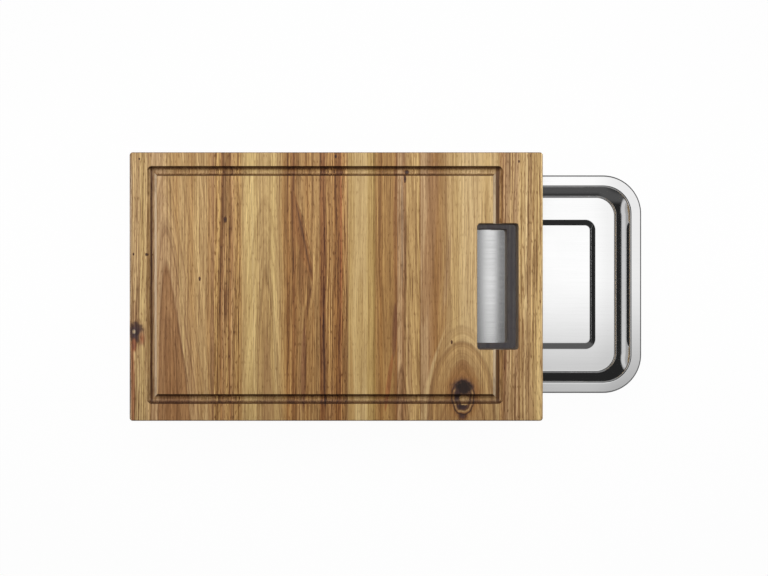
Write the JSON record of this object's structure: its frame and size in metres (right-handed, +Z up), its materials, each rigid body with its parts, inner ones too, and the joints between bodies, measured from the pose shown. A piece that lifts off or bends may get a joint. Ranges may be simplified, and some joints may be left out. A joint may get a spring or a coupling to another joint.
{
  "type": "cutting board with pull-out tray",
  "caption": "Wooden cutting board with a juice groove and a scrap hole, over a steel tray that slides out at one end.",
  "frame": {"origin": "on the table below the middle of the whole part, with the tray standing out as at rest", "axes": "+X towards the end where the tray comes out, +Y towards the back edge, +Z up"},
  "size_m": [0.5016, 0.26, 0.06],
  "materials": {
    "acacia_light": "oiled yellow-tan sapwood, satin",
    "acacia_tan": "oiled tan heartwood, satin",
    "acacia_brown": "oiled reddish brown heartwood, satin",
    "rail_acacia": "oiled heartwood, satin",
    "dowel_beech": "plain sanded beech",
    "foot_rubber": "matte black rubber",
    "screw_steel": "plain steel",
    "tray_steel": "bright satin stainless steel"
  },
  "bodies": {
    "board": {"back_rail": "rail_acacia", "back_rail_dowel_1": "dowel_beech", "back_rail_dowel_2": "dowel_beech", "back_rail_dowel_3": "dowel_beech", "back_rail_dowel_4": "dowel_beech", "end_rail": "rail_acacia", "end_rail_dowel_1": "dowel_beech", "end_rail_dowel_2": "dowel_beech", "foot_back_left": "foot_rubber", "foot_back_right": "foot_rubber", "foot_front_left": "foot_rubber", "foot_front_right": "foot_rubber", "foot_screw_back_left": "screw_steel", "foot_screw_back_right": "screw_steel", "foot_screw_front_left": "screw_steel", "foot_screw_front_right": "screw_steel", "front_rail": "rail_acacia", "front_rail_dowel_1": "dowel_beech", "front_rail_dowel_2": "dowel_beech", "front_rail_dowel_3": "dowel_beech", "front_rail_dowel_4": "dowel_beech", "stave_01": "acacia_light", "stave_02": "acacia_tan", "stave_03": "acacia_brown", "stave_04": "acacia_light", "stave_05": "acacia_brown", "stave_06": "acacia_brown", "stave_07": "acacia_light", "stave_08": "acacia_brown", "stave_09": "acacia_tan", "stave_10": "acacia_tan", "stave_11": "acacia_tan"},
    "tray": {"tray": "tray_steel"}
  },
  "joints": [
    {"name": "tray_slide", "type": "slide", "parent": "board", "child": "tray", "axis": [1, 0, 0], "range_m": [-0.0935, 0.2235]}
  ]
}
